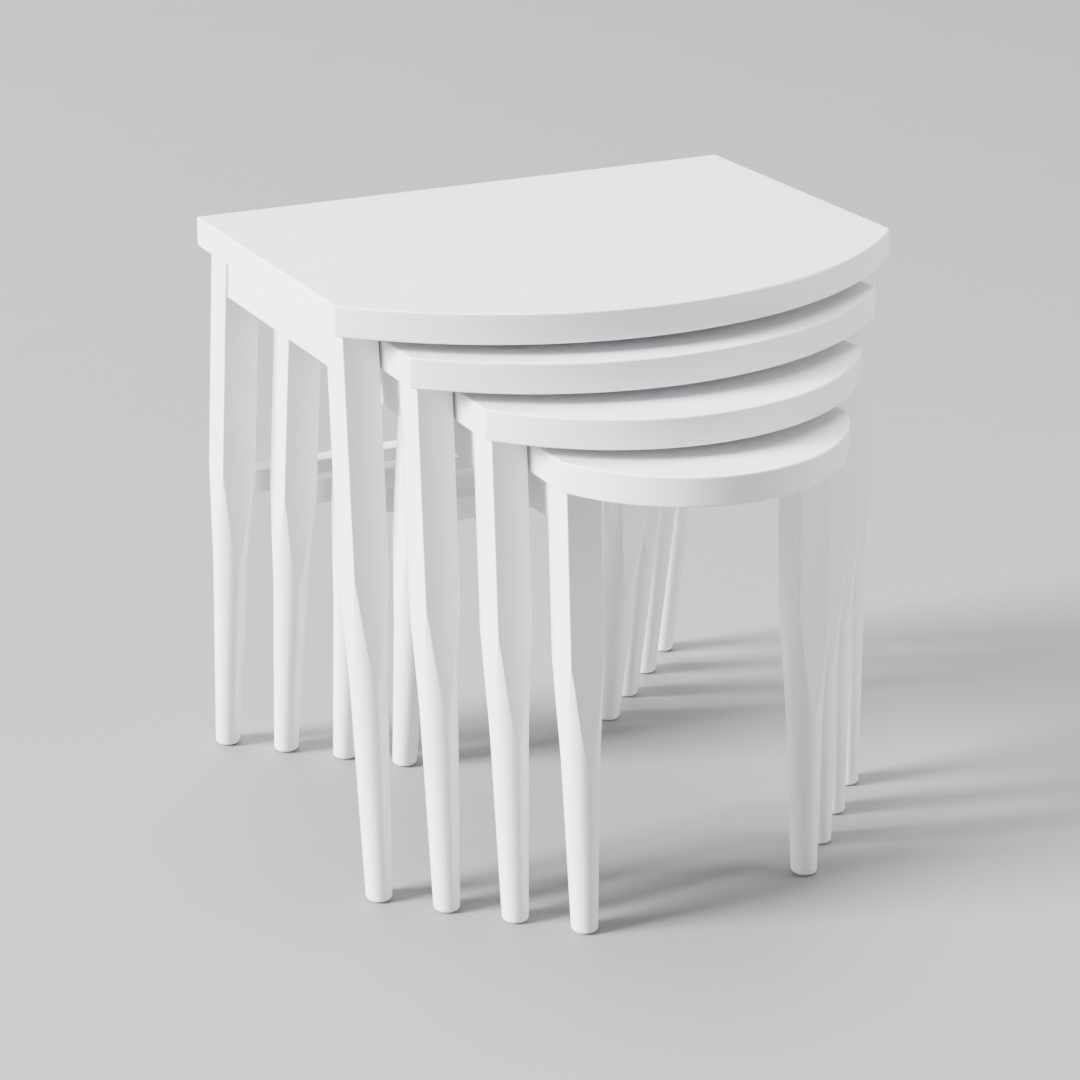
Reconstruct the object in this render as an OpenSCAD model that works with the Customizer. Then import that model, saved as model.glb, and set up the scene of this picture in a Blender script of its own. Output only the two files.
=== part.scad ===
/* [Nest] */
// Height of the largest table
table_h = 570; // [480:1:700]
// Width of the largest top
top_w = 580; // [500:1:760]
// Gap between a top and the smaller top under it
top_gap = 10.5; // [4:0.5:30]
// Gap between a rear stretcher and the rear legs of the smaller table in front of it
nest_gap = 16; // [4:0.5:40]
// Sideways gap between the legs of one table and the top that slides between them
slide_gap = 2.5; // [1:0.1:8]

/* [Tops] */
// Thickness of each top
top_t = 28; // [18:0.5:34]
// Straight side of the largest top, from the rear edge to the front corner
side_d = 312; // [260:1:420]
// How much longer the straight side is on each smaller top
side_gain = 11; // [0:0.5:20]
// How far the curved front of the largest top stands beyond its front corners
bow_large = 118; // [60:1:150]
// How far the curved front of each smaller top stands beyond its front corners
bow_small = 94; // [50:1:120]

/* [Legs] */
// Side of the square upper part of a leg
leg_s = 35; // [28:0.5:45]
// Diameter of a foot
foot_d = 24.6; // [20:0.2:34]
// Lean of the legs, backward at the rear and forward at the front, in degrees
rake = 5.5; // [0:0.1:8]
// Leg face to the side edge of the top
side_inset = 10; // [4:0.5:25]
// Front face of a front leg to the front corner of the top
front_inset = 7; // [2:0.5:30]
// Rear face of a rear leg to the rear edge of the top
rear_inset = 11.5; // [4:0.5:30]
// Length of the square part of a leg on the largest table
square_l = 218; // [150:1:260]
// How much shorter the square part is on each smaller table
square_step = 21; // [0:0.5:30]
// Length over which the four flats run out into the round
shoulder_l = 110; // [50:1:150]

/* [Rails] */
// Height of a side apron
apron_h = 42; // [30:0.5:60]
// Thickness of a side apron
apron_t = 20; // [14:0.5:26]
// Outer face of an apron to the outer face of the legs
apron_inset = 3; // [0:0.5:8]
// Height of a rear stretcher
stretcher_h = 26; // [18:0.5:40]
// Thickness of a rear stretcher
stretcher_t = 16; // [10:0.5:22]
// Middle of the largest table's stretcher below the end of the square part of its legs
stretcher_below = 26; // [-30:0.5:40]
// How much less of that drop each smaller table's stretcher has
stretcher_climb = 13; // [0:0.5:20]

/* [Joinery] */
// Diameter of the dowels in the aprons and in the leg tops
dowel_d = 8; // [6:0.5:10]
// Length of those dowels
dowel_l = 36; // [24:1:40]
// Distance between the two dowels at an apron's end
dowel_pitch = 20; // [14:0.5:28]
// Diameter of the stretcher dowels
stretcher_dowel_d = 6; // [4:0.5:8]
// Length of the stretcher dowels
stretcher_dowel_l = 30; // [20:1:36]
// Distance between the two dowels at a stretcher's end
stretcher_dowel_pitch = 13; // [9:0.5:18]
// Room beyond each end of a dowel in its holes
dowel_end_gap = 1; // [0.5:0.1:2]
// Diameter of the top screws' thread
screw_d = 4.2; // [3:0.1:5]
// Diameter of the top screws' heads
screw_head_d = 8.4; // [6:0.1:10]
// Height of the top screws' heads
screw_head_h = 2.6; // [1.5:0.1:4]
// Depth of the pocket that hides a top screw's head
screw_pocket = 9; // [4:0.5:14]
// How far a top screw reaches into the top
screw_bite = 17; // [8:0.5:22]
// Clearance round a screw in its hole
screw_gap = 0.15; // [0.05:0.05:0.4]
// Diameter of a foot glide
glide_d = 18; // [14:0.5:24]
// Thickness of a foot glide
glide_t = 1.5; // [1:0.5:5]
// Diameter of a glide's nail
glide_nail_d = 2.4; // [1.5:0.1:3]
// Length of a glide's nail
glide_nail_l = 15; // [8:1:25]

/* [Hidden] */
TABLES = 4;
PIECES = [
    "top", "front_left_leg", "front_right_leg", "rear_left_leg", "rear_right_leg",
    "left_apron", "right_apron", "rear_stretcher",
    "leg_dowels", "apron_dowels", "stretcher_dowels", "top_screws", "foot_glides"
];

LEFT = -1;
RIGHT = 1;
FRONT = -1;
REAR = 1;
SIDES = [LEFT, RIGHT];
ENDS = [FRONT, REAR];

lacquer = "white";
beech = "burlywood";
steel = "silver";
nylon = "whitesmoke";

// Number of steps on the curve of a leg's shoulder
shoulder_steps = 8;
// The shoulder's curve starts this far inside the flats and ends this far outside the corners
shoulder_margin = 0.3;
// How the shoulder swells: 1 would be a straight taper, 2 a parabola
shoulder_power = 1.5;
// Slack that lets a cutting solid pass the face it cuts
over = 1;

// Two legs, their insets and their gaps make the tops step down in width
width_step = 2 * (side_inset + leg_s + slide_gap);
height_step = top_t + top_gap;
// Horizontal half depth of a leg, which is a little more than half its side because it leans
leg_half_d = leg_s / 2 / cos(rake);
// Each smaller table's rear legs stand clear of the stretcher behind them
rear_step = nest_gap + leg_half_d + stretcher_t / 2 / cos(rake) - height_step * tan(rake);

// Sizes of table k, counted from 1 for the largest
function top_width(k) = top_w - (k - 1) * width_step;
function top_z(k) = table_h - (k - 1) * height_step;
function under_z(k) = top_z(k) - top_t;
function side_depth(k) = side_d + (k - 1) * side_gain;
function bow(k) = k == 1 ? bow_large : bow_small;
function bow_r(k) = (pow(top_width(k) / 2, 2) + pow(bow(k), 2)) / (2 * bow(k));
// Height at which the corners of a leg start to be turned away
function shoulder_z(k) = under_z(k) - square_l + (k - 1) * square_step;
function stretcher_mid(k) = shoulder_z(k) - stretcher_below + (k - 1) * stretcher_climb;

// How far a leg's axis moves between the floor and height z
function lean(z) = z * tan(rake);

// The origin lies on the floor, half way between the rear feet of the largest table and the
// front of the smallest top, on the line of symmetry
rear_reach = lean(under_z(1)) - rear_inset - leg_half_d + foot_d / 2 / cos(rake) - lean(glide_t);
front_reach = side_depth(TABLES) + bow(TABLES) + (TABLES - 1) * rear_step;
rear_edge_1 = (front_reach - rear_reach) / 2;
function rear_edge(k) = rear_edge_1 - (k - 1) * rear_step;
function front_corner(k) = rear_edge(k) - side_depth(k);

// Middle of a leg on table k
function leg_x(k, side) = side * (top_width(k) / 2 - side_inset - leg_s / 2);
function leg_top_y(k, end) = end == REAR
    ? rear_edge(k) - rear_inset - leg_half_d
    : front_corner(k) + front_inset + leg_half_d;
function foot_y(k, end) = leg_top_y(k, end) + end * lean(under_z(k));

// Middle of an apron
function apron_x(k, side) = side * (top_width(k) / 2 - side_inset - apron_inset - apron_t / 2);
// Face of a leg that an apron butts against, at height z
function apron_end_y(k, end, z) = leg_top_y(k, end) + end * (lean(under_z(k) - z) - leg_half_d);

// Heights of an apron's two dowels, down the leg from the underside of the top
apron_dowel_drops = [(apron_h - dowel_pitch) / 2, (apron_h + dowel_pitch) / 2];
// The leg-top dowel stands away from the apron's dowels
leg_dowel_offset = leg_s / 4;
// A top screw's places along its apron, as shares of the apron's length
screw_places = [1 / 6, 1 / 2, 5 / 6];

// Height up a leg's own axis for a height above the floor
function up_leg(z) = z / cos(rake);

// Radius of a leg's turned part at height z on table k: a slim cone up to the run-out of the
// flats, then a curve that leaves the cone smoothly and passes the corners of the square
runout_r = leg_s / 2 - shoulder_margin;
corner_r = leg_s / sqrt(2) + shoulder_margin;
function runout_z(k) = shoulder_z(k) - shoulder_l;
function cone_slope(k) = (runout_r - foot_d / 2) / runout_z(k);
function flare(k) = corner_r - runout_r - cone_slope(k) * shoulder_l;
function turned_r(k, z) = foot_d / 2 + cone_slope(k) * z
    + (z > runout_z(k) ? flare(k) * pow((z - runout_z(k)) / shoulder_l, shoulder_power) : 0);

// Places the children on a leg's own axis, with the foot at the floor
module on_leg(k, side, end) {
    translate([leg_x(k, side), foot_y(k, end), 0])
        rotate([end * rake, 0, 0])
            children();
}

// Everything between two heights
module slab(z0, z1) {
    reach = 2 * top_w;
    translate([-reach, -reach, z0])
        cube([2 * reach, 2 * reach, z1 - z0]);
}

// A rectangle with one arc across its front, which meets both front corners
module top_outline(k) {
    w = top_width(k);
    translate([-w / 2, front_corner(k)])
        square([w, side_depth(k)]);
    intersection() {
        translate([-w / 2, front_corner(k) - bow(k) - over])
            square([w, bow(k) + 2 * over]);
        translate([0, front_corner(k) - bow(k) + bow_r(k)])
            circle(r = bow_r(k), $fn = 180);
    }
}

module top(k) {
    color(lacquer)
        difference() {
            translate([0, 0, under_z(k)])
                linear_extrude(top_t)
                    top_outline(k);
            for (side = SIDES) for (end = ENDS) leg_dowel(k, side, end, dowel_end_gap);
            for (side = SIDES) for (place = screw_places) screw_pilot(k, side, place);
        }
}

module turned_blank(k) {
    foot_end = -leg_s;
    rotate_extrude($fn = 90)
        polygon(concat(
            [[0, foot_end], [turned_r(k, 0), foot_end], [turned_r(k, 0), 0]],
            [for (i = [0:shoulder_steps])
                let (z = runout_z(k) + shoulder_l * i / shoulder_steps)
                [turned_r(k, z), up_leg(z)]],
            [[leg_s, up_leg(shoulder_z(k) + over)],
             [leg_s, up_leg(table_h + leg_s)],
             [0, up_leg(table_h + leg_s)]]
        ));
}

module leg(k, side, end) {
    length = up_leg(table_h + leg_s);
    color(lacquer)
        difference() {
            intersection() {
                on_leg(k, side, end)
                    intersection() {
                        translate([-leg_s / 2, -leg_s / 2, -leg_s])
                            cube([leg_s, leg_s, length + leg_s]);
                        turned_blank(k);
                    }
                slab(glide_t, under_z(k));
            }
            leg_dowel(k, side, end, dowel_end_gap);
            apron_dowel_pair(k, side, end, dowel_end_gap);
            if (end == REAR) stretcher_dowel_pair(k, side, dowel_end_gap);
            glide_nail(k, side, end, dowel_end_gap);
        }
}

module apron(k, side) {
    low = under_z(k) - apron_h;
    color(lacquer)
        difference() {
            translate([apron_x(k, side) - apron_t / 2, 0, 0])
                rotate([90, 0, 90])
                    linear_extrude(apron_t)
                        polygon([
                            [apron_end_y(k, FRONT, low), low],
                            [apron_end_y(k, REAR, low), low],
                            [apron_end_y(k, REAR, under_z(k)), under_z(k)],
                            [apron_end_y(k, FRONT, under_z(k)), under_z(k)]
                        ]);
            for (end = ENDS) apron_dowel_pair(k, side, end, dowel_end_gap);
            for (place = screw_places) screw_hole(k, side, place);
        }
}

module rear_stretcher(k) {
    length = 2 * leg_x(k, RIGHT) - leg_s;
    color(lacquer)
        difference() {
            translate([0, foot_y(k, REAR), 0])
                rotate([rake, 0, 0])
                    translate([-length / 2, -stretcher_t / 2, up_leg(stretcher_mid(k)) - stretcher_h / 2])
                        cube([length, stretcher_t, stretcher_h]);
            for (side = SIDES) stretcher_dowel_pair(k, side, dowel_end_gap);
        }
}

// A dowel up from a leg into the top, with extra length at both ends for its holes
module leg_dowel(k, side, end, extra) {
    translate([leg_x(k, side), leg_top_y(k, end) + end * leg_dowel_offset, under_z(k) - dowel_l / 2 - extra])
        cylinder(d = dowel_d, h = dowel_l + 2 * extra, $fn = 48);
}

module leg_dowels(k) {
    color(beech)
        for (side = SIDES) for (end = ENDS) leg_dowel(k, side, end, 0);
}

// The two dowels between an apron and a leg, square to the leg's face
module apron_dowel_pair(k, side, end, extra) {
    x_shift = apron_x(k, side) - leg_x(k, side);
    for (drop = apron_dowel_drops)
        on_leg(k, side, end)
            translate([x_shift, -end * leg_s / 2, up_leg(under_z(k) - drop)])
                rotate([90, 0, 0])
                    cylinder(d = dowel_d, h = dowel_l + 2 * extra, center = true, $fn = 48);
}

module apron_dowels(k) {
    color(beech)
        for (side = SIDES) for (end = ENDS) apron_dowel_pair(k, side, end, 0);
}

// The two dowels between a stretcher's end and a rear leg
module stretcher_dowel_pair(k, side, extra) {
    for (s = [-1, 1])
        on_leg(k, side, REAR)
            translate([-side * leg_s / 2, 0, up_leg(stretcher_mid(k)) + s * stretcher_dowel_pitch / 2])
                rotate([0, 90, 0])
                    cylinder(
                        d = stretcher_dowel_d, h = stretcher_dowel_l + 2 * extra, center = true, $fn = 48
                    );
}

module stretcher_dowels(k) {
    color(beech)
        for (side = SIDES) stretcher_dowel_pair(k, side, 0);
}

// Places the children on a top screw's axis, at the underside of the top
module on_screw(k, side, place) {
    y0 = apron_end_y(k, FRONT, under_z(k));
    y1 = apron_end_y(k, REAR, under_z(k));
    translate([apron_x(k, side), y0 + place * (y1 - y0), under_z(k)])
        children();
}

// A screw's clearance hole through the apron, and the pocket that its head sits up in
module screw_hole(k, side, place) {
    on_screw(k, side, place) {
        translate([0, 0, -apron_h - over])
            cylinder(d = screw_head_d + 2 * screw_gap, h = screw_pocket + over, $fn = 48);
        translate([0, 0, -apron_h])
            cylinder(d = screw_d + 2 * screw_gap, h = apron_h + over, $fn = 48);
    }
}

// A screw's blind hole in the top
module screw_pilot(k, side, place) {
    on_screw(k, side, place)
        translate([0, 0, -over])
            cylinder(d = screw_d + 2 * screw_gap, h = screw_bite + over + screw_gap, $fn = 48);
}

module top_screws(k) {
    seat = screw_pocket - apron_h;
    color(steel)
        for (side = SIDES) for (place = screw_places)
            on_screw(k, side, place) {
                translate([0, 0, seat - screw_head_h])
                    cylinder(d = screw_head_d, h = screw_head_h, $fn = 48);
                translate([0, 0, seat])
                    cylinder(d = screw_d, h = screw_bite - seat, $fn = 48);
            }
}

module glide_nail(k, side, end, extra) {
    translate([leg_x(k, side), foot_y(k, end), glide_t / 2])
        cylinder(d = glide_nail_d, h = glide_nail_l + extra, $fn = 32);
}

module foot_glides(k) {
    color(nylon)
        for (side = SIDES) for (end = ENDS) {
            translate([leg_x(k, side), foot_y(k, end), 0])
                cylinder(d = glide_d, h = glide_t, $fn = 64);
            glide_nail(k, side, end, 0);
        }
}

module piece(name, k) {
    if (name == "top") top(k);
    if (name == "front_left_leg") leg(k, LEFT, FRONT);
    if (name == "front_right_leg") leg(k, RIGHT, FRONT);
    if (name == "rear_left_leg") leg(k, LEFT, REAR);
    if (name == "rear_right_leg") leg(k, RIGHT, REAR);
    if (name == "left_apron") apron(k, LEFT);
    if (name == "right_apron") apron(k, RIGHT);
    if (name == "rear_stretcher") rear_stretcher(k);
    if (name == "leg_dowels") leg_dowels(k);
    if (name == "apron_dowels") apron_dowels(k);
    if (name == "stretcher_dowels") stretcher_dowels(k);
    if (name == "top_screws") top_screws(k);
    if (name == "foot_glides") foot_glides(k);
}

for (k = [1:TABLES]) for (name = PIECES)
    piece(name, k);
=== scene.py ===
"""A nest of four white lacquered tables: bowed tops on legs that are square above and turned below."""

import logging
import math
from dataclasses import dataclass, field
from enum import Enum
from functools import partial
from typing import Callable, Sequence

import bmesh
import bpy
from mathutils import Matrix, Vector


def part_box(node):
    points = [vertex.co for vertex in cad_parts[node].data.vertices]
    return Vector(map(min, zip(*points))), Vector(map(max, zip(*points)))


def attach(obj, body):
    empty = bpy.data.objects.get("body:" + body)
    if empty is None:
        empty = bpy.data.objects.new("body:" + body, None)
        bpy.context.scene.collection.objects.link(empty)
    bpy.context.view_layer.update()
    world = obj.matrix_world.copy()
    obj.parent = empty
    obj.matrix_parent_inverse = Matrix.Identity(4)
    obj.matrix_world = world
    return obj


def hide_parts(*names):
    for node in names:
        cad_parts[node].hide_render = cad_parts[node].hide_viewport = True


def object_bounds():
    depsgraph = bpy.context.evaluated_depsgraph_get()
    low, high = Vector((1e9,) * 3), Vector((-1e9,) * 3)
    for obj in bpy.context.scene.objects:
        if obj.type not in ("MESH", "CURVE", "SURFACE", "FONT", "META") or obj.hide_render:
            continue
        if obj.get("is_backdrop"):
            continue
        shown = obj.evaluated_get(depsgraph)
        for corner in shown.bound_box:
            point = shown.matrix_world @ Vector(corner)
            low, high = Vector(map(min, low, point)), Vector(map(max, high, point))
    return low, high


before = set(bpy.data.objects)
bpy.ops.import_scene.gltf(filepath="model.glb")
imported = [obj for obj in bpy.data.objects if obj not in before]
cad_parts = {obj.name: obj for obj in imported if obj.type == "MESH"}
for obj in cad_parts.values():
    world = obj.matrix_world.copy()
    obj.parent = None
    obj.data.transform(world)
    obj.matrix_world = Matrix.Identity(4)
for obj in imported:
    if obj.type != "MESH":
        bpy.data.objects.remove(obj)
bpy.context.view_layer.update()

log = logging.getLogger("nest")
MM = 0.001
QUARTER = math.pi / 2
FULL = 2 * math.pi
RAKE = math.radians(5.5)
NO_LENGTH = 1e-7

Tone = tuple[float, float, float]
Span = tuple[float, float]
Ring = list[Vector]
Outline = list[tuple[float, float]]
Groove = Callable[[float, float], float]


class Side(Enum):
    """The side of a table that a piece stands on."""

    LEFT = -1
    RIGHT = 1


class End(Enum):
    """The end of a table that a leg stands at."""

    FRONT = -1
    REAR = 1


class Grain(Enum):
    """The direction that a board's grain runs in."""

    ACROSS = 0
    DEEP = 1
    UP = 2


class Slot(Enum):
    """Names for the four materials."""

    LACQUER = "white_lacquer"
    BEECH = "beech_dowel"
    STEEL = "steel_screw"
    NYLON = "nylon_glide"


# ---------------------------------------------------------------- finishes


class Recipe:
    """A material's node tree, put together in few words."""

    def __init__(self, name: str) -> None:
        """Starts a material with one plain shader.

        Args:
            name: what the material is called.
        """
        self.material = bpy.data.materials.new(name)
        self.material.use_nodes = True
        self.tree = self.material.node_tree
        self.shader = self.tree.nodes["Principled BSDF"]
        self.place = self.add("ShaderNodeTexCoord").outputs["Object"]

    def add(self, kind: str, **inputs: object) -> bpy.types.Node:
        """Adds a node.

        Args:
            kind: Blender's name for the node type.
            inputs: values or sockets for its inputs, with _ for a space in a name.

        Returns:
            The new node.
        """
        node = self.tree.nodes.new(kind)
        for name, value in inputs.items():
            self.feed(node.inputs[name.replace("_", " ")], value)
        return node

    def feed(self, socket: bpy.types.NodeSocket, value: object) -> None:
        """Links a socket to an input, or sets the input's value.

        Args:
            socket: the input.
            value: an output socket, or the value itself.
        """
        if isinstance(value, bpy.types.NodeSocket):
            self.tree.links.new(value, socket)
        else:
            socket.default_value = value

    def stretched(self, scale: Sequence[float]) -> bpy.types.NodeSocket:
        """Gives the object's coordinates scaled by a vector, in repeats a metre."""
        return self.add("ShaderNodeMapping", Vector=self.place, Scale=tuple(scale)).outputs["Vector"]

    def noise(
        self, scale: float, detail: float = 2.0, along: Sequence[float] | None = None
    ) -> bpy.types.NodeSocket:
        """Adds soft noise.

        Args:
            scale: its fineness, in repeats a metre.
            detail: how many finer layers it has.
            along: a scale for each axis, for noise drawn out in one direction.

        Returns:
            The noise as a value round a half.
        """
        place = self.stretched(along) if along else self.place
        return self.add("ShaderNodeTexNoise", Vector=place, Scale=scale, Detail=detail).outputs["Fac"]

    def spread(
        self, value: bpy.types.NodeSocket, low: float, high: float, start: float = 0.3, stop: float = 0.7
    ) -> bpy.types.NodeSocket:
        """Maps a value's usual range to a new one.

        Args:
            value: the value to map.
            low: the result at start.
            high: the result at stop.
            start: the lower end of the usual range.
            stop: its upper end.

        Returns:
            The mapped value, kept between low and high.
        """
        node = self.add("ShaderNodeMapRange", Value=value)
        for name, number in (("From Min", start), ("From Max", stop), ("To Min", low), ("To Max", high)):
            node.inputs[name].default_value = number
        return node.outputs["Result"]

    def blended(
        self, factor: bpy.types.NodeSocket, first: object, second: object
    ) -> bpy.types.NodeSocket:
        """Mixes two colours.

        Args:
            factor: how much of the second colour shows.
            first: a colour or a colour socket.
            second: another.

        Returns:
            The mixed colour.
        """
        node = self.tree.nodes.new("ShaderNodeMix")
        node.data_type = "RGBA"
        self.feed(node.inputs[0], factor)
        self.feed(node.inputs[6], first)
        self.feed(node.inputs[7], second)
        return node.outputs[2]

    def relief(
        self, height: bpy.types.NodeSocket, depth: float, strength: float,
        under: bpy.types.NodeSocket | None = None,
    ) -> bpy.types.NodeSocket:
        """Turns a height pattern into a bumped normal.

        Args:
            height: the pattern.
            depth: its depth in metres.
            strength: how much of it shows.
            under: a bumped normal that this one lies over.

        Returns:
            The bumped normal.
        """
        node = self.add("ShaderNodeBump", Height=height, Distance=depth, Strength=strength)
        if under:
            self.feed(node.inputs["Normal"], under)
        return node.outputs["Normal"]

    def dress(self, **inputs: object) -> bpy.types.Material:
        """Sets the shader's inputs.

        Args:
            inputs: values or sockets, with _ for a space in a name.

        Returns:
            The finished material.
        """
        for name, value in inputs.items():
            self.feed(self.shader.inputs[name.replace("_", " ")], value)
        return self.material


def rgba(tone: Sequence[float], factor: float = 1.0) -> tuple[float, float, float, float]:
    """Gives a tone, made lighter or darker by a factor, as a colour with full cover."""
    return (tone[0] * factor, tone[1] * factor, tone[2] * factor, 1.0)


def drawn_out(grain: Grain, along: float, across: float) -> list[float]:
    """Gives a scale for each axis, for a pattern that is drawn out along the grain.

    Args:
        grain: the direction of the grain.
        along: repeats a metre along it.
        across: repeats a metre across it.

    Returns:
        The three scales.
    """
    return [along if axis == grain.value else across for axis in range(3)]


@dataclass(frozen=True)
class Lacquer:
    """White satin lacquer, sprayed over close-grained wood and rubbed down.

    A scale is in repeats a metre, or a pair of them along and across the grain. A relief is a depth in
    metres and how much of it shows.
    """

    grain: Grain
    tone: Tone = (0.78, 0.78, 0.795)
    thin_film: float = 0.972
    streak_shade: float = 0.93
    roughness: Span = (0.29, 0.41)
    coat: float = 0.22
    coat_roughness: float = 0.18
    film_scale: float = 5.0
    rub_scale: float = 24.0
    peel_scale: float = 420.0
    streak_scale: Span = (5.0, 130.0)
    pore_scale: Span = (40.0, 900.0)
    pore_relief: Span = (0.00006, 0.22)
    streak_relief: Span = (0.0004, 0.26)
    peel_relief: Span = (0.00012, 0.3)
    slot: Slot = Slot.LACQUER

    def material(self) -> bpy.types.Material:
        """Builds the material.

        Returns:
            A lacquer with an uneven film, orange peel, a trace of grain and rubbed patches.
        """
        r = Recipe(f"white_lacquer_{self.grain.name.lower()}")
        film = r.spread(r.noise(self.film_scale, detail=3.0), low=0.0, high=1.0)
        streaks = r.noise(1.0, detail=5.0, along=drawn_out(self.grain, *self.streak_scale))
        body = r.blended(film, rgba(self.tone), rgba(self.tone, self.thin_film))
        streaked = r.spread(streaks, low=0.0, high=0.5, start=0.45, stop=0.75)
        pores = r.noise(1.0, detail=3.0, along=drawn_out(self.grain, *self.pore_scale))
        pitted = r.spread(pores, low=0.0, high=1.0, start=0.35, stop=0.6)
        waved = r.relief(streaks, *self.streak_relief, under=r.relief(pitted, *self.pore_relief))
        peel = r.noise(self.peel_scale, detail=1.0)
        return r.dress(
            Base_Color=r.blended(streaked, body, rgba(self.tone, self.streak_shade)),
            Roughness=r.spread(r.noise(self.rub_scale, detail=4.0), *self.roughness),
            Normal=r.relief(peel, *self.peel_relief, under=waved),
            Coat_Weight=self.coat,
            Coat_Roughness=self.coat_roughness,
            Specular_IOR_Level=0.5,
        )


@dataclass(frozen=True)
class Beech:
    """Plain beech, with its short dark rays.

    A scale is in repeats a metre, along and across the grain.
    """

    grain: Grain
    pale: Tone = (0.74, 0.57, 0.38)
    dark: Tone = (0.52, 0.34, 0.19)
    ray_shade: float = 0.8
    roughness: Span = (0.5, 0.68)
    ring_scale: Span = (6.0, 260.0)
    ray_scale: Span = (260.0, 1500.0)
    fibre_scale: Span = (60.0, 2400.0)
    fibre_relief: Span = (0.0001, 0.4)
    slot: Slot = Slot.BEECH

    def material(self) -> bpy.types.Material:
        """Builds the material.

        Returns:
            A wood with year rings, rays and a fine fibre.
        """
        r = Recipe(f"beech_{self.grain.name.lower()}")
        rings = r.noise(1.0, detail=4.0, along=drawn_out(self.grain, *self.ring_scale))
        rays = r.noise(1.0, detail=1.0, along=drawn_out(self.grain, *self.ray_scale))
        wood = r.blended(r.spread(rings, low=0.0, high=0.6), rgba(self.pale), rgba(self.dark))
        flecked = r.spread(rays, low=0.0, high=0.5, start=0.58, stop=0.72)
        fibre = r.noise(1.0, detail=3.0, along=drawn_out(self.grain, *self.fibre_scale))
        return r.dress(
            Base_Color=r.blended(flecked, wood, rgba(self.dark, self.ray_shade)),
            Roughness=r.spread(fibre, *self.roughness),
            Normal=r.relief(fibre, *self.fibre_relief),
        )


@dataclass(frozen=True)
class Zinc:
    """Zinc plated steel, turned bright and a little dulled. Scales are in repeats a metre."""

    tone: Tone = (0.62, 0.62, 0.64)
    spangle_shade: float = 0.8
    roughness: Span = (0.24, 0.42)
    spangle_scale: float = 900.0
    line_scale: Span = (3000.0, 500.0)
    spangle_relief: Span = (0.00004, 0.3)
    slot: Slot = Slot.STEEL

    def material(self) -> bpy.types.Material:
        """Builds the material.

        Returns:
            A metal with the plating's spangle and fine turned lines.
        """
        r = Recipe("zinc_plate")
        spangle = r.noise(self.spangle_scale, detail=2.0)
        lines = r.noise(1.0, detail=2.0, along=drawn_out(Grain.UP, *self.line_scale))
        mottled = r.spread(spangle, low=0.0, high=1.0)
        return r.dress(
            Base_Color=r.blended(mottled, rgba(self.tone), rgba(self.tone, self.spangle_shade)),
            Metallic=1.0,
            Roughness=r.spread(lines, *self.roughness),
            Normal=r.relief(spangle, *self.spangle_relief),
        )


@dataclass(frozen=True)
class Nylon:
    """Moulded off-white nylon, scuffed where it slides. Scales are in repeats a metre."""

    tone: Tone = (0.8, 0.8, 0.78)
    grime_shade: float = 0.72
    roughness: Span = (0.42, 0.66)
    glow: float = 0.06
    glow_depth: float = 2.0 * MM
    grime_scale: float = 260.0
    scuff_scale: Span = (150.0, 2600.0)
    scuff_relief: Span = (0.00005, 0.35)
    slot: Slot = Slot.NYLON

    def material(self) -> bpy.types.Material:
        """Builds the material.

        Returns:
            A moulded skin with fine scuffs and a little grime.
        """
        r = Recipe("nylon")
        grime = r.spread(r.noise(self.grime_scale, detail=4.0), low=0.0, high=0.5, start=0.5, stop=0.75)
        scuffs = r.noise(1.0, detail=3.0, along=drawn_out(Grain.DEEP, *self.scuff_scale))
        return r.dress(
            Base_Color=r.blended(grime, rgba(self.tone), rgba(self.tone, self.grime_shade)),
            Roughness=r.spread(scuffs, *self.roughness),
            Normal=r.relief(scuffs, *self.scuff_relief),
            Subsurface_Weight=self.glow,
            Subsurface_Scale=self.glow_depth,
        )


@dataclass(frozen=True)
class FloorPaint:
    """A plain matt paint for the studio's floor. The scale is in repeats a metre."""

    tone: Tone = (0.22, 0.22, 0.225)
    patch_shade: float = 0.98
    roughness: Span = (0.55, 0.65)
    patch_scale: float = 9.0

    def material(self) -> bpy.types.Material:
        """Builds the material.

        Returns:
            A paint with faint patches.
        """
        r = Recipe("plain_floor")
        patches = r.noise(self.patch_scale, detail=3.0)
        patched = r.spread(patches, low=0.0, high=1.0)
        tone = r.blended(patched, rgba(self.tone), rgba(self.tone, self.patch_shade))
        return r.dress(Base_Color=tone, Roughness=r.spread(patches, *self.roughness))


Finish = Lacquer | Beech | Zinc | Nylon


class Palette:
    """The finishes in use, each built once."""

    def __init__(self) -> None:
        """Starts with nothing built."""
        self.built: dict[Finish, bpy.types.Material] = {}

    def dress(self, piece: bpy.types.Object, finish: Finish) -> None:
        """Gives a piece its finish.

        Args:
            piece: the piece to dress.
            finish: the finish it gets.
        """
        if finish not in self.built:
            self.built[finish] = finish.material()
        piece.data.materials.clear()
        piece.data.materials.append(self.built[finish])


# ---------------------------------------------------------------- mesh making


def steps(count: int) -> list[float]:
    """Gives count + 1 even steps from 0 to 1."""
    return [i / count for i in range(count + 1)]


def smooth_step(value: float) -> float:
    """Eases a value from 0 to 1 with level ends."""
    t = min(1.0, max(0.0, value))
    return t * t * (3 - 2 * t)


def tight(length: float, hold: float, inner: int, most: float = 0.3) -> list[float]:
    """Places points along a line so that the two outermost gaps are narrow, which keeps its ends crisp.

    Args:
        length: the line's length.
        hold: the width of the narrow gaps.
        inner: how many even gaps lie between them.
        most: the largest share of the length that a narrow gap may take.

    Returns:
        Shares of the length from 0 to 1.
    """
    edge = min(hold / max(length, NO_LENGTH), most)
    return [0.0] + [edge + (1 - 2 * edge) * s for s in steps(inner)] + [1.0]


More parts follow.
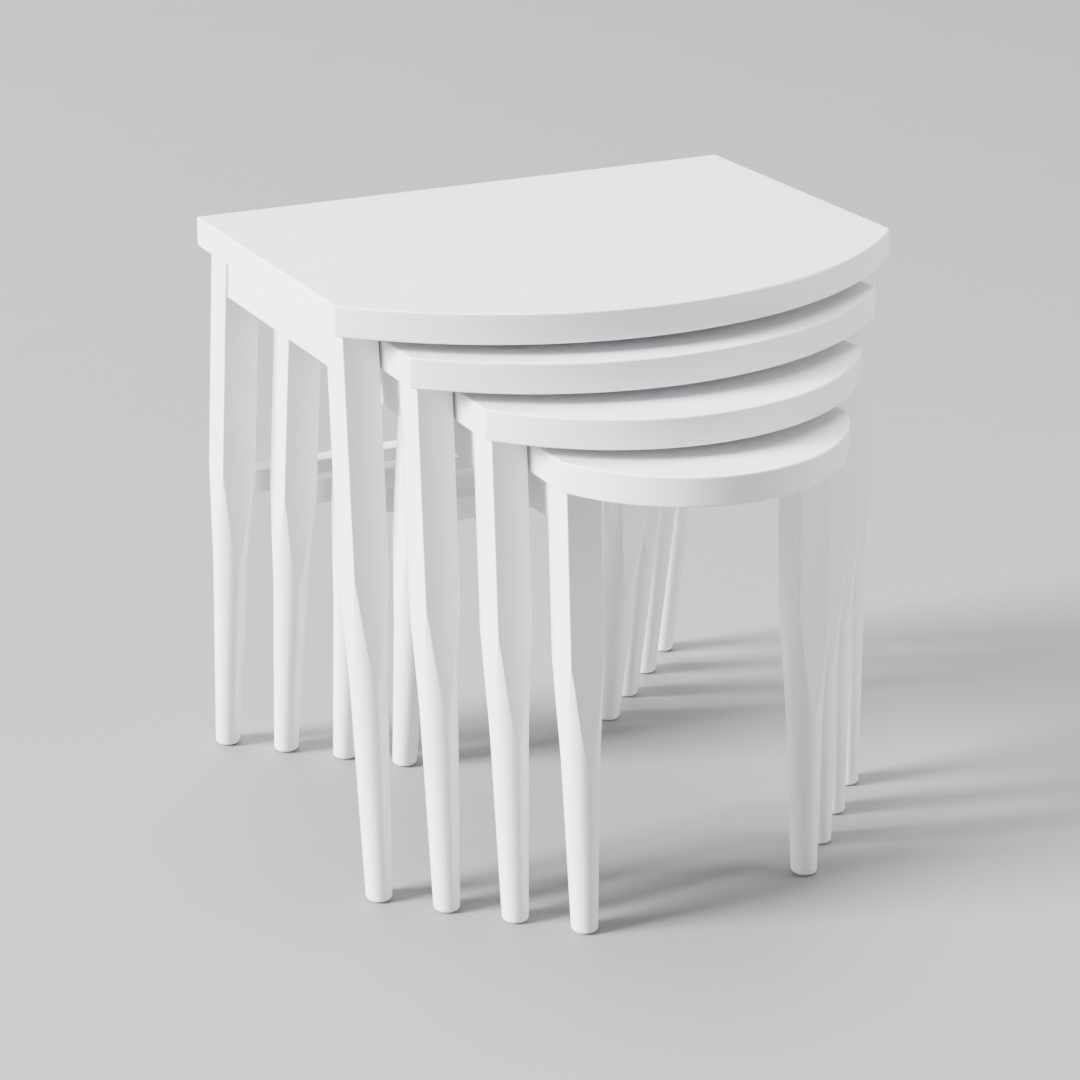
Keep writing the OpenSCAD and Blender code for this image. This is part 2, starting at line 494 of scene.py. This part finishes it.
class Skin:
    """A mesh under construction."""

    def __init__(self) -> None:
        """Starts an empty mesh."""
        self.mesh = bmesh.new()

    def loft(self, rings: Sequence[Ring], crisp_ends: bool = False) -> "Skin":
        """Joins rings of equal length with quads and closes both ends.

        Args:
            rings: the rings in order.
            crisp_ends: whether the two end faces meet the sides at a sharp edge.

        Returns:
            This skin.
        """
        rows = [[self.mesh.verts.new(point) for point in ring] for ring in rings]
        size = len(rows[0])
        for low, high in zip(rows, rows[1:]):
            for i in range(size):
                j = (i + 1) % size
                self.mesh.faces.new((low[i], low[j], high[j], high[i]))
        for cap in (self.mesh.faces.new(rows[0][::-1]), self.mesh.faces.new(rows[-1])):
            for edge in cap.edges:
                edge.smooth = not crisp_ends
        return self

    def turn(
        self, profile: Sequence[tuple[float, float]], around: int, groove: Groove | None = None
    ) -> "Skin":
        """Turns a profile about the z axis, like work on a lathe.

        Args:
            profile: radius and height of each point, from the bottom to the top.
            around: how many points a ring has.
            groove: gives what is taken off the radius at a height and an angle, where there is a thread.

        Returns:
            This skin.
        """
        rings = []
        for radius, height in profile:
            ring = []
            for i in range(around):
                angle = FULL * i / around
                r = radius - (groove(height, angle) if groove else 0.0)
                ring.append(Vector((r * math.cos(angle), r * math.sin(angle), height)))
            rings.append(ring)
        return self.loft(rings)

    def copies(self, places: Sequence[Vector]) -> "Skin":
        """Repeats what is here at each of several places, instead of at the origin.

        Args:
            places: where the copies go.

        Returns:
            This skin.
        """
        first = self.mesh.verts[:] + self.mesh.edges[:] + self.mesh.faces[:]
        for place in places[1:]:
            self.shift(bmesh.ops.duplicate(self.mesh, geom=first)["geom"], place)
        self.shift(first, places[0])
        return self

    def shift(self, parts: Sequence[object], by: Vector) -> None:
        """Moves some parts of the mesh.

        Args:
            parts: points, edges and faces, of which the points are moved.
            by: how far they move.
        """
        points = [part for part in parts if isinstance(part, bmesh.types.BMVert)]
        bmesh.ops.translate(self.mesh, verts=points, vec=by)

    def piece(self, name: str, sharp_over: float | None = None) -> bpy.types.Object:
        """Turns the skin into an object.

        Args:
            name: what the piece is called.
            sharp_over: edges that fold by more degrees than this are sharp; None keeps them as they are.

        Returns:
            The new object, smooth shaded.
        """
        bmesh.ops.recalc_face_normals(self.mesh, faces=self.mesh.faces[:])
        for face in self.mesh.faces:
            face.smooth = True
        data = bpy.data.meshes.new(name)
        self.mesh.to_mesh(data)
        self.mesh.free()
        if sharp_over is not None:
            data.set_sharp_from_angle(angle=math.radians(sharp_over))
        made = bpy.data.objects.new(name, data)
        bpy.context.scene.collection.objects.link(made)
        return made


def carve(piece: bpy.types.Object, cutter: bpy.types.Object, sharp_over: float) -> None:
    """Cuts one closed mesh out of another, and removes the cutter.

    Args:
        piece: the piece that is cut.
        cutter: the shape that is taken away.
        sharp_over: edges that fold by more degrees than this are sharp afterwards.
    """
    cut = piece.modifiers.new("carve", "BOOLEAN")
    cut.operation = "DIFFERENCE"
    cut.solver = "EXACT"
    cut.object = cutter
    bpy.context.view_layer.update()
    ready = piece.evaluated_get(bpy.context.evaluated_depsgraph_get())
    data = bpy.data.meshes.new_from_object(ready)
    piece.modifiers.clear()
    old = piece.data
    piece.data = data
    data.name = piece.name
    bpy.data.meshes.remove(old)
    bpy.data.objects.remove(cutter)
    for face in data.polygons:
        face.use_smooth = True
    data.set_sharp_from_angle(angle=math.radians(sharp_over))


def soft_rectangle(
    width: float, height: float, radii: Sequence[float], hold: float = 0.5 * MM, around: int = 5
) -> Outline:
    """Gives a rectangle with rounded corners, with a narrow step beside each rounding.

    Args:
        width: its width.
        height: its height.
        radii: radius of each corner: bottom right, top right, top left, bottom left.
        hold: width of the steps beside the roundings.
        around: how many edges a rounding has.

    Returns:
        Its points, anticlockwise about its middle.
    """
    corners = [(1, -1, -QUARTER), (1, 1, 0.0), (-1, 1, QUARTER), (-1, -1, 2 * QUARTER)]
    points = []
    for (sx, sy, start), radius in zip(corners, radii):
        cx, cy = sx * (width / 2 - radius), sy * (height / 2 - radius)
        first = Vector((math.cos(start), math.sin(start)))
        last = Vector((-math.sin(start), math.cos(start)))
        arc = []
        for share in steps(around):
            angle = QUARTER * share
            arc.append(Vector((cx, cy)) + radius * (math.cos(angle) * first + math.sin(angle) * last))
        points += [arc[0] - hold * last, *arc, arc[-1] - hold * first]
    return [(p[0], p[1]) for p in points]


def adopt(piece: bpy.types.Object, node: str, body: str) -> None:
    """Lets a piece stand for a CAD node and ride on its body.

    Args:
        piece: the detailed piece.
        node: the CAD node that it stands for.
        body: the body that it rides on.
    """
    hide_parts(node)
    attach(piece, body)
    log.info("%s stands for %s: %d faces", piece.name, node, len(piece.data.polygons))


# ---------------------------------------------------------------- the pieces of a table


@dataclass
class TopBoard:
    """A thick board with a straight back, straight sides and a bowed front.

    The bow is how far the front stands beyond its corners. plan_r rounds the corners seen from above and
    edge_r the edges. The hold is a narrow step beside a rounding, which keeps the flat face flat.
    """

    number: int
    bow: float
    plan_r: float = 3.0 * MM
    edge_r: float = 1.8 * MM
    hold: float = 0.5 * MM
    bow_steps: int = 72
    corner_steps: int = 6
    edge_steps: int = 5

    @property
    def node(self) -> str:
        """The CAD node that this board stands for."""
        return f"top_{self.number}"

    def outline(self, inset: float, height: float) -> Ring:
        """Draws the board's outline.

        Args:
            inset: how far inside the board's edge it lies.
            height: its height above the floor.

        Returns:
            The outline's points, anticlockwise from the rear right corner.
        """
        low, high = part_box(self.node)
        half, rear, nose = high.x, high.y, low.y
        bow_r = (half**2 + self.bow**2) / (2 * self.bow)
        bow_y = nose + bow_r
        r = self.plan_r
        corner = Vector((half - r, bow_y - math.sqrt((bow_r - r) ** 2 - (half - r) ** 2)))
        spread = math.atan2(corner.x, bow_y - corner.y)
        arcs = [
            (Vector((half - r, rear - r)), r, 0.0, QUARTER, self.corner_steps),
            (Vector((r - half, rear - r)), r, QUARTER, 2 * QUARTER, self.corner_steps),
            (Vector((-corner.x, corner.y)), r, 2 * QUARTER, 3 * QUARTER - spread, self.corner_steps),
            (Vector((0.0, bow_y)), bow_r, 3 * QUARTER - spread, 3 * QUARTER + spread, self.bow_steps),
            (corner, r, 3 * QUARTER + spread, 4 * QUARTER, self.corner_steps),
        ]
        ring: Ring = []
        for centre, radius, start, stop, count in arcs:
            for share in steps(count):
                angle = start + (stop - start) * share
                point = centre + (radius - inset) * Vector((math.cos(angle), math.sin(angle)))
                spot = Vector((point.x, point.y, height))
                if not ring or (ring[-1] - spot).length > NO_LENGTH:
                    ring.append(spot)
        return ring

    def profile(self) -> Outline:
        """Draws the board's softened edge.

        Returns:
            The inset and the height of each outline, from the underside to the top face.
        """
        low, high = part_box(self.node)
        r, hold = self.edge_r, self.hold
        arc = []
        for share in steps(self.edge_steps):
            angle = QUARTER * share
            arc.append((r * (1 - math.cos(angle)), r * (1 - math.sin(angle))))
        upper = [(0.0, high.z - r - hold)] + [(inset, high.z - drop) for inset, drop in arc]
        lower = [(0.0, low.z + r + hold)] + [(inset, low.z + drop) for inset, drop in arc]
        return [(r + hold, low.z)] + lower[::-1] + upper + [(r + hold, high.z)]

    def build(self, palette: Palette, body: str) -> None:
        """Builds and dresses the board.

        Args:
            palette: the finishes.
            body: the body it rides on.
        """
        skin = Skin().loft([self.outline(inset, height) for inset, height in self.profile()])
        board = skin.piece(f"top_board_{self.number}")
        palette.dress(board, Lacquer(Grain.ACROSS))
        adopt(board, self.node, body)


@dataclass
class Leg:
    """A raked leg, square at the top, whose flats run out in points into a turned taper.

    The square part ends at the height square_end, and the flats run out over the shoulder below it. The
    hold is a narrow step that keeps an edge crisp, the tip is the narrowest that a flat's half angle gets,
    and the bulge rounds the corners over the last bulge_fade of turned radius. Within level_run of an end,
    the leg's rings turn from square across the leg to level with the floor.
    """

    number: int
    side: Side
    end: End
    square_end: float
    rake: float = RAKE
    foot_r: float = 12.3 * MM
    foot_ease: float = 2.2 * MM
    shoulder: float = 110.0 * MM
    swell_power: float = 1.5
    arris: float = 1.3 * MM
    hold: float = 0.45 * MM
    tip: float = math.radians(4.0)
    flat_gaps: int = 4
    round_gaps: int = 6
    bulge_fade: float = 1.6 * MM
    ease_rings: int = 6
    taper_rings: int = 7
    shoulder_rings: int = 30
    square_rings: int = 6
    level_run: float = 30.0 * MM

    @property
    def node(self) -> str:
        """The CAD node that this leg stands for."""
        return f"{self.end.name.lower()}_{self.side.name.lower()}_leg_{self.number}"

    def places(self) -> tuple[float, float, float, float, float]:
        """Reads the leg's middle at the floor, its ends and its side from the CAD.

        Returns:
            x and y of the foot's middle, the bottom and top heights, and the side of the square.
        """
        low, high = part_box(self.node)
        side = high.x - low.x
        deep = side / 2 / math.cos(self.rake)
        head = low.y + deep if self.end is End.REAR else high.y - deep
        foot = head + self.end.value * high.z * math.tan(self.rake)
        return (low.x + high.x) / 2, foot, low.z, high.z, side

    def radius(self, z: float, side: float) -> float:
        """Gives the turned radius at a height.

        Args:
            z: the height.
            side: the side of the square.

        Returns:
            The radius of a slim taper, and above the run-out of a curve that swells past the corners.
        """
        run_out = self.square_end - self.shoulder
        slope = (side / 2 - self.foot_r) / run_out
        swell = side / math.sqrt(2) - side / 2 - slope * self.shoulder
        rise = max(0.0, z - run_out) / self.shoulder
        return self.foot_r + slope * z + swell * rise**self.swell_power

    def section(self, turned: float, side: float) -> Outline:
        """Draws the leg's section.

        Args:
            turned: the turned radius there.
            side: the side of the square.

        Returns:
            The points of the square's flats, joined by the turned surface at its corners.
        """
        half, soft = side / 2, self.arris
        inner = half - soft
        full = math.hypot(half, inner)
        squared = turned >= full
        reach = inner if squared else math.sqrt(max(turned**2 - half**2, 0.0))
        wing = math.atan2(reach, half)
        on_cone = wing < self.tip
        wing = max(wing, self.tip)
        bulge = inner * math.sqrt(2) + soft - full
        bulge *= smooth_step(1 - (full - turned) / self.bulge_fade)
        span = 2 * half * math.tan(wing)
        points = []
        for turn in range(4):
            spot = []
            for share in tight(span, self.hold, self.flat_gaps):
                angle = wing * (2 * share - 1)
                if on_cone:
                    rho = min(turned, half / math.cos(angle))
                    spot.append((rho * math.cos(angle), rho * math.sin(angle)))
                else:
                    spot.append((half, reach * (2 * share - 1)))
            length = turned * (QUARTER - 2 * wing)
            for share in tight(length, self.hold, self.round_gaps)[1:-1]:
                if squared:
                    angle = QUARTER * share
                    spot.append((inner + soft * math.cos(angle), inner + soft * math.sin(angle)))
                else:
                    angle = wing + (QUARTER - 2 * wing) * share
                    rho = turned + bulge * 4 * share * (1 - share)
                    spot.append((rho * math.cos(angle), rho * math.sin(angle)))
            c, s = round(math.cos(QUARTER * turn)), round(math.sin(QUARTER * turn))
            points += [(c * x - s * y, s * x + c * y) for x, y in spot]
        return points

    def heights(self, bottom: float, top: float) -> Outline:
        """Lists the leg's rings from the foot up.

        Args:
            bottom: height of the foot's underside.
            top: height of the leg's top end.

        Returns:
            For each ring its height, and how far it is drawn in for the eased foot.
        """
        ease = self.foot_ease
        run_out = self.square_end - self.shoulder
        rings = [(bottom, ease + self.hold)]
        for share in steps(self.ease_rings):
            angle = QUARTER * share
            rings.append((bottom + ease * (1 - math.cos(angle)), ease * (1 - math.sin(angle))))
        start = bottom + ease + self.hold
        rings += [(start + (run_out - start) * s, 0.0) for s in steps(self.taper_rings)]
        rings += [(run_out + self.shoulder * s, 0.0) for s in steps(self.shoulder_rings)[1:]]
        square = top - self.square_end
        rings += [(self.square_end + square * s, 0.0) for s in steps(self.square_rings)[1:]]
        return rings

    def build(self, palette: Palette, body: str) -> None:
        """Builds and dresses the leg.

        Args:
            palette: the finishes.
            body: the body it rides on.
        """
        x0, y0, bottom, top, side = self.places()
        lean = Matrix.Rotation(self.end.value * self.rake, 4, "X")
        tilt = self.end.value * math.tan(self.rake)
        rings = []
        for z, drawn_in in self.heights(bottom, top):
            turned = side if z >= self.square_end else self.radius(z, side) - drawn_in
            level = max(1 - (z - bottom) / self.level_run, 1 - (top - z) / self.level_run, 0.0)
            ring = []
            for x, y in self.section(turned, side):
                up = z / math.cos(self.rake) - smooth_step(level) * tilt * y
                ring.append(lean @ Vector((x, y, up)) + Vector((x0, y0, 0.0)))
            rings.append(ring)
        name = f"leg_{self.end.name.lower()}_{self.side.name.lower()}_{self.number}"
        leg = Skin().loft(rings, crisp_ends=True).piece(name)
        palette.dress(leg, Lacquer(Grain.UP))
        adopt(leg, self.node, body)


@dataclass
class Screws:
    """The screws up through the aprons into the top, with domed cross-slotted heads.

    The slot's mouth and floor are each a depth, a half length and a half width. Edges that fold by more
    degrees than the fold are sharp.
    """

    number: int
    per_apron: int = 3
    head_r: float = 4.2 * MM
    head_h: float = 2.6 * MM
    dome: float = 1.3 * MM
    dome_reach: float = 0.999
    dome_rings: int = 8
    lip: float = 0.25 * MM
    shank_r: float = 2.1 * MM
    neck_run: float = 1.2 * MM
    point_run: float = 4.0 * MM
    point_r: float = 0.2 * MM
    point_rings: int = 5
    thread_pitch: float = 1.8 * MM
    thread_depth: float = 0.5 * MM
    thread_fade: float = 3.0 * MM
    thread_power: float = 0.6
    pocket_gap: float = 0.15 * MM
    slot_mouth: tuple[float, float, float] = (-0.4 * MM, 2.5 * MM, 0.62 * MM)
    slot_floor: tuple[float, float, float] = (1.7 * MM, 1.2 * MM, 0.34 * MM)
    around: int = 28
    rows_per_turn: int = 5
    fold: float = 38.0

    @property
    def node(self) -> str:
        """The CAD node that these screws stand for."""
        return f"top_screws_{self.number}"

    def spots(self) -> list[Vector]:
        """Finds the screws' places.

        Returns:
            The lowest point of each screw's head.
        """
        low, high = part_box(self.node)
        xs = (low.x + self.head_r, high.x - self.head_r)
        first, last = low.y + self.head_r, high.y - self.head_r
        ys = [first + (last - first) * s for s in steps(self.per_apron - 1)]
        return [Vector((x, y, low.z)) for x in xs for y in ys]

    def length(self) -> float:
        """Gives a screw's whole length."""
        low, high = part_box(self.node)
        return high.z - low.z

    def groove(self, total: float, height: float, angle: float) -> float:
        """Cuts the thread, which fades out at the neck and at the point.

        Args:
            total: a screw's whole length.
            height: the height above the head's lowest point.
            angle: the angle round the screw.

        Returns:
            What is taken off the radius between the thread's crests.
        """
        neck = self.head_h + self.neck_run
        turn = (height / self.thread_pitch + angle / FULL) % 1.0
        fade = smooth_step((height - neck) / self.thread_fade)
        fade *= smooth_step((total - height) / self.point_run)
        return self.thread_depth * fade * (1 - abs(2 * turn - 1)) ** self.thread_power

    def profile(self) -> Outline:
        """Draws a screw for the lathe.

        Returns:
            Radius and height of each point, from the head's crown to the screw's point.
        """
        total = self.length()
        neck = self.head_h + self.neck_run
        point = total - self.point_run
        outline = []
        for share in steps(self.dome_rings)[1:]:
            radius = self.head_r * math.sin(QUARTER * share) * self.dome_reach
            outline.append((radius, self.dome * (1 - math.cos(QUARTER * share))))
        outline += [
            (self.head_r, self.dome + self.lip),
            (self.head_r, self.head_h - self.lip),
            (self.head_r - self.lip, self.head_h),
            (self.shank_r, self.head_h),
            (self.shank_r, neck),
        ]
        rows = int((point - neck) / (self.thread_pitch / self.rows_per_turn))
        outline += [(self.shank_r, neck + (point - neck) * s) for s in steps(rows)[1:]]
        for share in steps(self.point_rings)[1:]:
            radius = self.shank_r * (1 - share) + self.point_r * share
            outline.append((radius, point + (total - point) * share))
        return outline

    def cross(self) -> bpy.types.Object:
        """Builds the tapered cross that is sunk in a head.

        Returns:
            The cross, which reaches a little below the head so that the cut is open.
        """
        rings = []
        for depth, long, wide in (self.slot_mouth, self.slot_floor):
            arm = [(long, -wide), (long, wide), (wide, wide)]
            ring = []
            for turn in range(4):
                spin = Matrix.Rotation(QUARTER * turn, 4, "Z")
                ring += [spin @ Vector((x, y, depth)) for x, y in arm]
            rings.append(ring)
        return Skin().loft(rings).piece("cross_cutter")

    def build(self, palette: Palette, body: str) -> None:
        """Builds and dresses the screws.

        Args:
            palette: the finishes.
            body: the body they ride on.
        """
        groove = partial(self.groove, self.length())
        one = Skin().turn(self.profile(), self.around, groove).piece("screw_blank")
        carve(one, self.cross(), self.fold)
        skin = Skin()
        skin.mesh.from_mesh(one.data)
        bpy.data.objects.remove(one)
        screws = skin.copies(self.spots()).piece(f"screws_{self.number}", self.fold)
        palette.dress(screws, Zinc())
        adopt(screws, self.node, body)


@dataclass
class Apron:
    """A rail under the top's side, with eased lower edges and a pocket for each screw.

    The rim is the chamfer round a pocket's mouth, and past is how far the cutter runs out of the wood.
    Edges that fold by more degrees than the fold are sharp.
    """

    number: int
    side: Side
    screws: Screws
    rake: float = RAKE
    lower_r: float = 1.5 * MM
    upper_r: float = 0.3 * MM
    pocket_depth: float = 9.0 * MM
    rim: float = 0.4 * MM
    past: float = 2.0 * MM
    around: int = 40
    fold: float = 32.0

    @property
    def node(self) -> str:
        """The CAD node that this apron stands for."""
        return f"{self.side.name.lower()}_apron_{self.number}"

    def cutter(self) -> bpy.types.Object:
        """Builds the shape of the screw pockets and of the clearance holes above them.

        Returns:
            The shape, which runs a little past the apron below and above.
        """
        low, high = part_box(self.node)
        wide = self.screws.head_r + self.screws.pocket_gap
        slim = self.screws.shank_r + self.screws.pocket_gap
        ceiling = low.z + self.pocket_depth
        profile = [
            (wide + self.rim + self.past, low.z - self.past),
            (wide, low.z + self.rim),
            (wide, ceiling),
            (slim, ceiling),
            (slim, high.z + self.past),
        ]
        places = [Vector((p.x, p.y, 0.0)) for p in self.screws.spots() if low.x < p.x < high.x]
        return Skin().turn(profile, self.around).copies(places).piece("pocket_cutter")

    def build(self, palette: Palette, body: str) -> None:
        """Builds and dresses the apron.

        Args:
            palette: the finishes.
            body: the body it rides on.
        """
        low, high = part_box(self.node)
        middle = (low + high) / 2
        radii = (self.lower_r, self.upper_r, self.upper_r, self.lower_r)
        outline = soft_rectangle(high.x - low.x, high.z - low.z, radii)
        rings = []
        for end, y in ((-1, low.y), (1, high.y)):
            ring = []
            for x, z in outline:
                up = z + middle.z - low.z
                ring.append(Vector((middle.x + x, y - end * up * math.tan(self.rake), middle.z + z)))
            rings.append(ring)
        name = f"apron_{self.side.name.lower()}_{self.number}"
        apron = Skin().loft(rings, crisp_ends=True).piece(name)
        carve(apron, self.cutter(), self.fold)
        palette.dress(apron, Lacquer(Grain.DEEP))
        adopt(apron, self.node, body)


@dataclass
class Stretcher:
    """The rail between the rear legs, raked with them."""

    number: int
    height: float = 26.0 * MM
    thickness: float = 16.0 * MM
    rake: float = RAKE
    edge_r: float = 2.0 * MM

    @property
    def node(self) -> str:
        """The CAD node that this stretcher stands for."""
        return f"rear_stretcher_{self.number}"

    def build(self, palette: Palette, body: str) -> None:
        """Builds and dresses the stretcher.

        Args:
            palette: the finishes.
            body: the body it rides on.
        """
        low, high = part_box(self.node)
        middle = (low + high) / 2
        lean = Matrix.Rotation(self.rake, 4, "X")
        outline = soft_rectangle(self.thickness, self.height, [self.edge_r] * 4)
        rings = []
        for x in (low.x, high.x):
            end = Vector((x, middle.y, middle.z))
            rings.append([lean @ Vector((0.0, y, z)) + end for y, z in outline])
        bar = Skin().loft(rings, crisp_ends=True).piece(f"stretcher_bar_{self.number}")
        palette.dress(bar, Lacquer(Grain.ACROSS))
        adopt(bar, self.node, body)


@dataclass
class Glides:
    """The nail-on glides under the four feet, each a disc with a dish in its underside and a nail.

    Edges that fold by more degrees than the fold are sharp.
    """

    number: int
    disc_r: float = 9.0 * MM
    thickness: float = 1.5 * MM
    edge_r: float = 0.5 * MM
    nail_r: float = 1.2 * MM
    edge_rings: int = 5
    rim_ease: float = 0.2 * MM
    nail_fillet: float = 0.3 * MM
    nail_point: float = 2.5 * MM
    nail_point_r: float = 0.15 * MM
    dish_r: float = 3.4 * MM
    dish_depth: float = 0.5 * MM
    dish_slope: float = 1.2 * MM
    dish_mouth: float = 0.5 * MM
    around: int = 56
    fold: float = 35.0

    @property
    def node(self) -> str:
        """The CAD node that these glides stand for."""
        return f"foot_glides_{self.number}"

    def profile(self, top: float) -> Outline:
        """Draws a glide for the lathe.

        Args:
            top: height of the nail's point above the floor.

        Returns:
            Radius and height of each point, from the dish round the disc and up the nail.
        """
        r, edge = self.disc_r, self.edge_r
        outline = [
            (self.dish_r - self.dish_slope, self.dish_depth),
            (self.dish_r, self.dish_depth / 2),
            (self.dish_r + self.dish_mouth, 0.0),
        ]
        for share in steps(self.edge_rings):
            angle = QUARTER * share
            outline.append((r - edge + edge * math.sin(angle), edge * (1 - math.cos(angle))))
        outline += [
            (r, self.thickness - self.rim_ease),
            (r - self.rim_ease, self.thickness),
            (self.nail_r + self.nail_fillet, self.thickness),
            (self.nail_r, self.thickness + self.nail_fillet),
            (self.nail_r, top - self.nail_point),
            (self.nail_point_r, top),
        ]
        return outline

    def build(self, palette: Palette, body: str) -> None:
        """Builds and dresses the glides.

        Args:
            palette: the finishes.
            body: the body they ride on.
        """
        low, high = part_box(self.node)
        r = self.disc_r
        xs, ys = (low.x + r, high.x - r), (low.y + r, high.y - r)
        places = [Vector((x, y, low.z)) for x in xs for y in ys]
        skin = Skin().turn(self.profile(high.z - low.z), self.around).copies(places)
        glides = skin.piece(f"glides_{self.number}", self.fold)
        palette.dress(glides, Nylon())
        adopt(glides, self.node, body)


@dataclass
class Joinery:
    """The dowels inside a table, which keep their CAD shape."""

    number: int
    grains: dict[str, Grain] = field(
        default_factory=lambda: {
            "leg_dowels": Grain.UP,
            "apron_dowels": Grain.DEEP,
            "stretcher_dowels": Grain.ACROSS,
        }
    )

    def dress(self, palette: Palette) -> None:
        """Gives each group of dowels its wood, with the grain along it.

        Args:
            palette: the finishes.
        """
        for group, grain in self.grains.items():
            node = f"{group}_{self.number}"
            palette.dress(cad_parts[node], Beech(grain))
            log.info("%s keeps its CAD shape", node)


@dataclass
class Table:
    """One table of the nest, counted from 1 for the largest."""

    number: int
    bow: float
    square_length: float

    @property
    def body(self) -> str:
        """The body that the table's pieces ride on."""
        return f"table_{self.number}"

    def build(self, palette: Palette) -> None:
        """Builds and dresses every piece of the table.

        Args:
            palette: the finishes.
        """
        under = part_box(f"top_{self.number}")[0].z
        screws = Screws(self.number)
        TopBoard(self.number, self.bow).build(palette, self.body)
        for end in End:
            for side in Side:
                Leg(self.number, side, end, under - self.square_length).build(palette, self.body)
        for side in Side:
            Apron(self.number, side, screws).build(palette, self.body)
        Stretcher(self.number).build(palette, self.body)
        screws.build(palette, self.body)
        Glides(self.number).build(palette, self.body)
        Joinery(self.number).dress(palette)


@dataclass
class Nest:
    """The four tables."""

    count: int = 4
    bow_large: float = 118.0 * MM
    bow_small: float = 94.0 * MM
    square_large: float = 218.0 * MM
    square_step: float = 21.0 * MM

    def tables(self) -> list[Table]:
        """Sizes the tables.

        Returns:
            The tables, from the largest to the smallest.
        """
        made = []
        for k in range(self.count):
            bow = self.bow_large if k == 0 else self.bow_small
            made.append(Table(k + 1, bow, self.square_large - k * self.square_step))
        return made


# ---------------------------------------------------------------- the studio


@dataclass(frozen=True)
class Lamp:
    """A soft square lamp that faces the nest."""

    name: str
    place: tuple[float, float, float]
    size: float
    power: float

    def build(self, target: Vector) -> None:
        """Hangs the lamp.

        Args:
            target: the point it faces.
        """
        data = bpy.data.lights.new(self.name, "AREA")
        data.shape = "SQUARE"
        data.size = self.size
        data.energy = self.power
        lamp = bpy.data.objects.new(self.name, data)
        lamp.location = self.place
        lamp.rotation_euler = (target - lamp.location).to_track_quat("-Z", "Y").to_euler()
        bpy.context.scene.collection.objects.link(lamp)


@dataclass(frozen=True)
class Camera:
    """A long lens at the front left, a little above the tops. Its lens and sensor are in millimetres."""

    turn: float = math.radians(29.2)
    drop: float = math.radians(22.25)
    roll: float = math.radians(1.22)
    target: tuple[float, float, float] = (-0.0214, 0.0589, 0.2647)
    distance: float = 2.6367
    lens: float = 90.23
    sensor: float = 36.0
    near: float = 0.05
    far: float = 200.0

    def build(self) -> None:
        """Sets the camera up and makes it the scene's own."""
        flat = math.cos(self.drop)
        ahead = Vector((math.sin(self.turn) * flat, math.cos(self.turn) * flat, -math.sin(self.drop)))
        level = ahead.cross(Vector((0, 0, 1))).normalized()
        over = level.cross(ahead)
        right = math.cos(self.roll) * level + math.sin(self.roll) * over
        up = math.cos(self.roll) * over - math.sin(self.roll) * level
        data = bpy.data.cameras.new("camera")
        data.sensor_width = self.sensor
        data.lens = self.lens
        data.clip_start = self.near
        data.clip_end = self.far
        camera = bpy.data.objects.new("camera", data)
        pose = Matrix((right, up, -ahead)).transposed().to_4x4()
        pose.translation = Vector(self.target) - ahead * self.distance
        camera.matrix_world = pose
        bpy.context.scene.collection.objects.link(camera)
        bpy.context.scene.camera = camera


@dataclass
class Studio:
    """A plain pale floor, soft lamps and an even sky."""

    lamps: tuple[Lamp, ...] = (
        Lamp("key", (-14.0, 3.0, 7.6), 5.0, 17500.0),
        Lamp("front", (-0.4, -4.0, 6.0), 2.8, 4.0),
        Lamp("right", (1.5, -0.75, 0.75), 0.7, 24.0),
        Lamp("above", (1.0, 4.0, 18.0), 9.0, 5200.0),
    )
    floor_side: float = 60.0
    paint: FloorPaint = FloorPaint()
    sky: float = 0.5
    sky_tone: Tone = (0.95, 0.97, 1.0)

    def floor(self) -> None:
        """Lays the floor."""
        half = self.floor_side / 2
        skin = Skin()
        corners = [(-half, -half), (half, -half), (half, half), (-half, half)]
        skin.mesh.faces.new([skin.mesh.verts.new((x, y, 0.0)) for x, y in corners])
        floor = skin.piece("floor")
        floor.data.materials.append(self.paint.material())
        floor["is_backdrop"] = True

    def light(self) -> None:
        """Hangs the lamps and lights the room evenly."""
        low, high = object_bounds()
        for lamp in self.lamps:
            lamp.build((low + high) / 2)
        world = bpy.data.worlds.new("studio")
        world.use_nodes = True
        back = world.node_tree.nodes["Background"]
        back.inputs["Color"].default_value = rgba(self.sky_tone)
        back.inputs["Strength"].default_value = self.sky
        bpy.context.scene.world = world


def main() -> None:
    """Builds the nest and the studio round it."""
    logging.basicConfig(level=logging.INFO, format="%(name)s: %(message)s")
    palette = Palette()
    for table in Nest().tables():
        table.build(palette)
        log.info("table %d is built", table.number)
    studio = Studio()
    studio.floor()
    studio.light()
    Camera().build()


if __name__ == "__main__":
    main()
